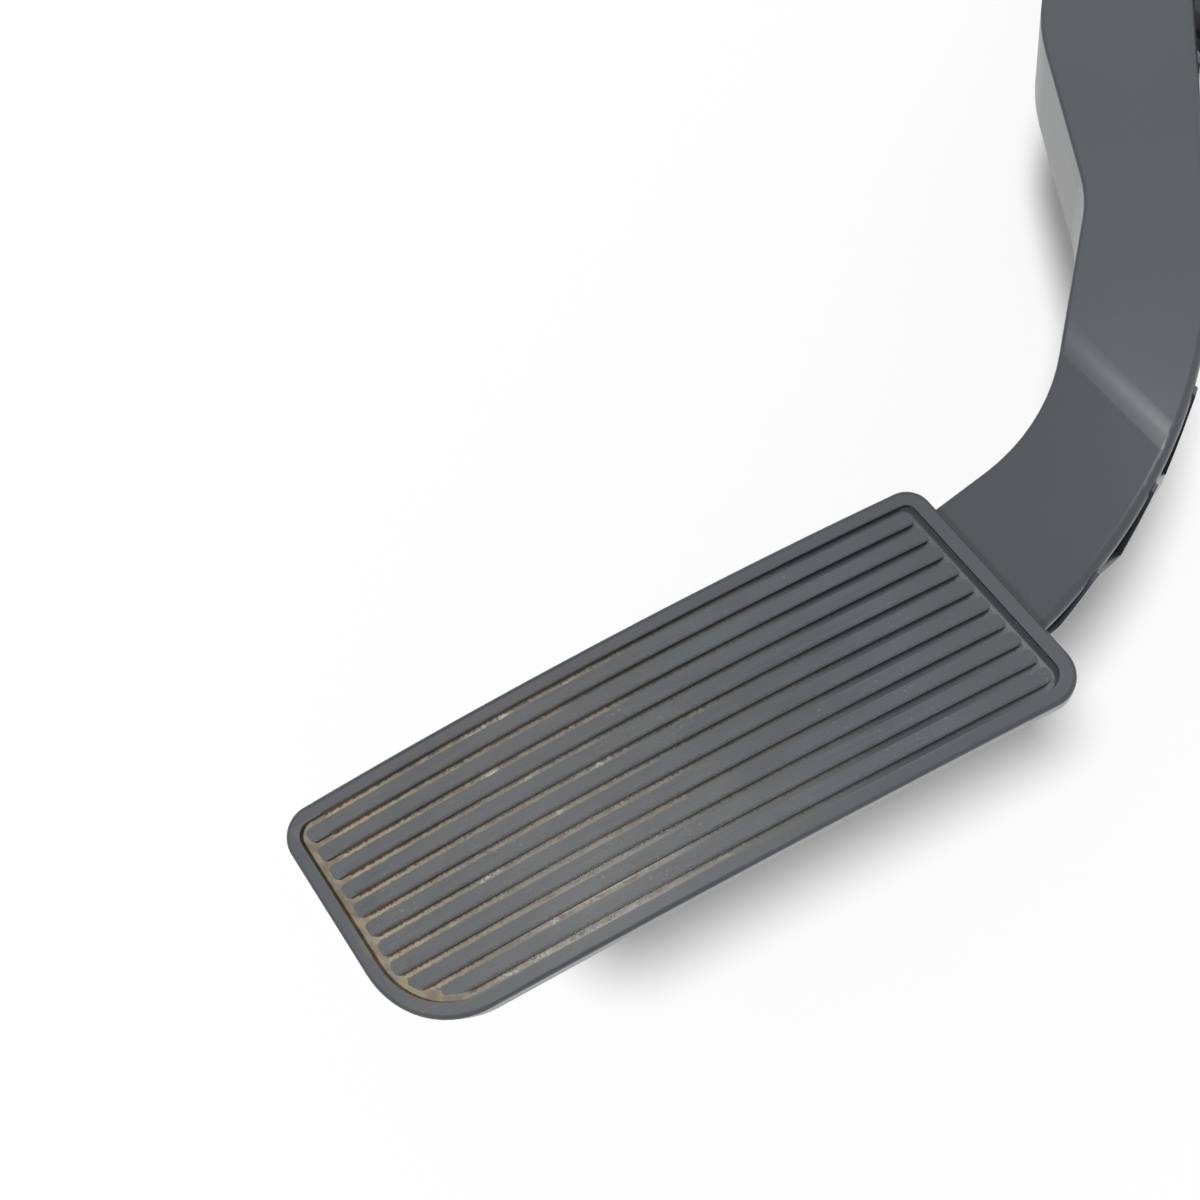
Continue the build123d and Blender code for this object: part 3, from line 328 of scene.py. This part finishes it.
def pedal_plastic():
    """Slate grey plastic of the pedal, with a film of dust on its tread, tan dust in the grooves, and shade
    painted in the grooves and the crease.
    """
    f = Finish("pedal_plastic")
    at = pad_place(f)
    tread = tread_masks(f, at)
    clouds = f.noise(f.mm, 0.02, 4.0)
    grain = f.noise(f.mm, 2.2, 3.0)
    colour = f.mix(f.total(f.product(clouds, 0.7), f.product(grain, 0.3)), SLATE_DARK, SLATE_LIGHT)
    colour = with_film(f, at, tread, colour)

    # Floors of the grooves, dark towards the head and dusty elsewhere
    dusty = f.most(f.rise(at.along, *FLOORS_DUSTY), tread.head_ring)
    colour = f.mix(f.product(tread.floor, f.spread(dusty, 0.2, 0.0)), colour, SHADE_AND_GRIME)
    settled = f.product(tread.floor, dusty, f.spread(tread.head_ring, 0.85, 0.15))
    colour = f.mix(settled, colour, FILM_WARM)

    # Painted shade in the grooves, browner where there is dust, and the dust over it
    ragged = f.product(f.math("SUBTRACT", f.noise(f.mm, 1.6, 2.0), 0.5), 1.1)
    dust = groove_dust(f, at, tread, ragged)
    groove_shade = groove_painted_shade(f, at, tread, ragged)
    colour = f.mix(groove_shade, colour, f.mix(f.product(dust.heavy, 0.6), SHADE_AND_GRIME, DUSTY_SHADE))
    shade = f.noise(f.mm, 0.25, 4.0)
    tan = f.mix(f.rise(shade, 0.40, 0.60), DUST_BROWN, DUST_TAN)
    tan = f.mix(f.rise(f.noise(f.mm, 0.45, 3.0), 0.48, 0.66), tan, DUST_GREY)
    tan = f.mix(f.product(dust.packed, f.spread(tread.foot_ring, 0.5, 0.1)), tan, DUST_PALE)
    tan = f.mix(dust.crumbs, tan, DUST_CREAM)
    thin = f.product(tread.foot_ring, f.rise(f.noise(f.mm, 0.6, 6.0), 0.46, 0.62))
    colour = f.mix(f.product(dust.mask, f.spread(thin, 0.9, 0.55)), colour, tan)

    # Pale scuffs on the ribs
    worn = f.rise(f.noise(f.mm, 0.05, 2.0), 0.52, 0.62)
    scuffs = f.product(tread.tops, worn, f.rise(f.noise(f.mm, 1.6, 5.0), 0.60, 0.72))
    colour = f.mix(f.product(scuffs, 0.25), colour, SCUFF)

    # A brown stain on the foot's border
    spot = f.product(f.rise(at.across, *STAIN_FROM), f.rise(at.across, *STAIN_TO))
    stain = f.product(tread.face, tread.by_ring, f.product(spot, f.rise(shade, 0.36, 0.56)), 0.5)
    colour = f.mix(stain, colour, DUST_BROWN)

    # Painted shade in the crease where the arm leaves the pad
    head = PAD_LENGTH / 2
    seam = f.product(f.rise(at.y, head, head + 0.2), f.rise(at.y, head + 1.5, head + 0.4))
    crease = f.product(seam, f.rise(at.across, *CREASE_TO))
    colour = f.mix(f.product(crease, 0.6), colour, SHADE_AND_GRIME)

    # Smooth arm, matt pad, dull dust
    matt = f.total(f.product(tread.face, 0.20), f.product(dust.mask, 0.3))
    f.set(
        Base_Color=colour,
        Specular_IOR_Level=f.spread(groove_shade, 0.5, 0.35),
        Roughness=f.total(f.spread(clouds, 0.24, 0.31), matt),
        Normal=f.bump(f.product(grain, f.spread(tread.face, 0.25, 1.0)), 0.02),
    )
    return f.material


def moulded(name, dark, light, rough, grain_scale, grain_depth):
    """Moulded plastic or rubber: cloudy colour and a fine grain."""
    f = Finish(name)
    clouds = f.noise(f.mm, 0.06, 5.0)
    grain = f.noise(f.mm, grain_scale, 3.0)
    f.set(
        Base_Color=f.mix(clouds, dark, light),
        Roughness=f.spread(grain, rough - 0.06, rough + 0.06),
        Normal=f.bump(grain, grain_depth),
    )
    return f.material


def metal(name, dark, light, rough, turned):
    """Bare or plated metal with stains, and with fine turning marks along X where it is turned."""
    f = Finish(name)
    stains = f.noise(f.mm, 0.35, 5.0)
    marks = f.noise(f.stretched(9.0, 0.2, 0.2) if turned else f.mm, 2.0, 4.0)
    f.set(
        Base_Color=f.mix(stains, dark, light),
        Metallic=1.0,
        Roughness=f.spread(stains, rough - 0.08, rough + 0.1),
        Normal=f.bump(marks, turned or 0.01),
    )
    return f.material


# Dark and light colour, roughness, grains per millimetre and depth of the grain in millimetres
MOULDED = {
    "housing_plastic": ((44, 45, 47), (52, 53, 55), 0.5, 1.4, 0.03),
    "cover_plastic": ((50, 51, 53), (57, 58, 60), 0.42, 2.0, 0.02),
    "washer_plastic": ((218, 216, 208), (228, 226, 220), 0.45, 2.0, 0.01),
    "cup_plastic": ((66, 66, 68), (74, 74, 77), 0.45, 2.0, 0.02),
    "friction_lining": ((96, 82, 70), (124, 108, 92), 0.6, 1.2, 0.04),
    "stop_rubber": ((40, 40, 40), (48, 48, 48), 0.75, 2.5, 0.02),
    "seal_rubber": ((144, 84, 58), (156, 94, 66), 0.6, 2.0, 0.02),
    "carrier_plastic": ((206, 204, 196), (216, 214, 208), 0.42, 2.0, 0.01),
    "magnet": ((86, 86, 88), (98, 98, 100), 0.5, 1.6, 0.02),
    "board": ((34, 98, 58), (42, 110, 66), 0.3, 1.0, 0.01),
    "chip": ((32, 32, 33), (38, 38, 39), 0.5, 2.0, 0.01),
}
# Dark and light colour, roughness and depth of the turning marks in millimetres
METALS = {
    "screw_steel": ((190, 188, 180), (212, 210, 204), 0.32, 0.0),
    "shaft_steel": ((192, 192, 190), (206, 206, 204), 0.25, 0.015),
    "spring_steel": ((140, 140, 143), (160, 160, 162), 0.35, 0.0),
    "sleeve_steel": ((186, 184, 176), (208, 206, 198), 0.36, 0.0),
    "ring_steel": ((98, 98, 101), (114, 114, 117), 0.45, 0.0),
    "bush_bronze": ((178, 146, 98), (198, 166, 116), 0.4, 0.0),
    "terminal": ((214, 208, 192), (224, 220, 206), 0.3, 0.0),
}
finishes = {"pedal_plastic": pedal_plastic()}
for name, (dark, light, *rest) in MOULDED.items():
    finishes[name] = moulded(name, srgb(*dark), srgb(*light), *rest)
for name, (dark, light, *rest) in METALS.items():
    finishes[name] = metal(name, srgb(*dark), srgb(*light), *rest)
for sub in frame["record"]["subparts"]:
    node = frame["nodes"][sub["node"]]
    for slot in node.material_slots:
        slot.material = finishes[sub["material_slot"]]

# Copies of the two springs' coils, placed in the world, with the springs hidden
for name in ("outer_return_spring", "inner_return_spring"):
    coil = bpy.data.objects.new(name + "_coil", frame["nodes"][name].data.copy())
    bpy.context.scene.collection.objects.link(coil)
    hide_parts(name)
    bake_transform(coil)

# Floor, which shows a little paler than the light makes it
floor_finish = Finish("floor")
floor_finish.set(
    Base_Color=(FLOOR_WHITE, FLOOR_WHITE, FLOOR_WHITE, 1.0),
    Roughness=1.0,
    Specular_IOR_Level=0.0,
    Emission_Color=(1.0, 1.0, 1.0, 1.0),
    Emission_Strength=floor_finish.product(shown_rays(floor_finish.tree), FLOOR_LIFT),
)
bpy.ops.mesh.primitive_plane_add(size=FLOOR_SIZE, location=(0, 0, cad_box[0].z))
floor = bpy.context.object
floor.name = "floor"
floor.data.materials.append(floor_finish.material)

# Even sky that shows as white
world = bpy.data.worlds.new("studio")
bpy.context.scene.world = world
world.use_nodes = True
sky = world.node_tree.nodes["Background"]
level = world.node_tree.nodes.new("ShaderNodeMapRange")
level.inputs["To Min"].default_value = AMBIENT_LEVEL
level.inputs["To Max"].default_value = 1.0
world.node_tree.links.new(shown_rays(world.node_tree), level.inputs["Value"])
world.node_tree.links.new(level.outputs["Result"], sky.inputs["Strength"])
sky.inputs["Color"].default_value = (1.0, 1.0, 1.0, 1.0)


def aim(data, at, toward):
    """Places a lamp at a point, shining back along the given direction."""
    made = bpy.data.objects.new(data.name, data)
    made.location = at
    made.rotation_mode = "QUATERNION"
    made.rotation_quaternion = toward.to_track_quat("Z", "Y")
    made.visible_camera = False
    bpy.context.scene.collection.objects.link(made)
    return made


def panel(name, tint, azimuth, elevation, long, high, radiance):
    """Rectangular lamp for gloss alone that faces the arm's bend, its azimuth turned from +Y towards -X."""
    turn, rise = radians(azimuth), radians(elevation)
    toward = Vector((-sin(turn) * cos(rise), cos(turn) * cos(rise), sin(rise)))
    data = bpy.data.lights.new(name, "AREA")
    data.shape = "RECTANGLE"
    data.size = long
    data.size_y = high
    data.color = tint
    data.energy = radiance * pi * long * high
    aim(data, BEND_AT + toward * PANEL_DISTANCE, toward).visible_diffuse = False


key = bpy.data.lights.new("key", "SUN")
key.angle = KEY_ANGLE
key.energy = KEY_LEVEL * pi
aim(key, KEY_FROM, KEY_FROM)
panel("strip", STRIP_TINT, **STRIP)
panel("window", WINDOW_TINT, **WINDOW)

camera_data = bpy.data.cameras.new("camera")
camera_data.lens = CAMERA_LENS
camera_data.sensor_width = CAMERA_SENSOR
camera_data.clip_start = CAMERA_CLIP
camera = bpy.data.objects.new("camera", camera_data)
back = -CAMERA_AHEAD.normalized()
right = (CAMERA_RIGHT - back * CAMERA_RIGHT.dot(back)).normalized()
turn = Matrix((right, back.cross(right), back)).transposed().to_4x4()
camera.matrix_world = Matrix.Translation(CAMERA_AT) @ turn
bpy.context.scene.collection.objects.link(camera)
bpy.context.scene.camera = camera
bpy.context.scene.view_settings.view_transform = "Standard"
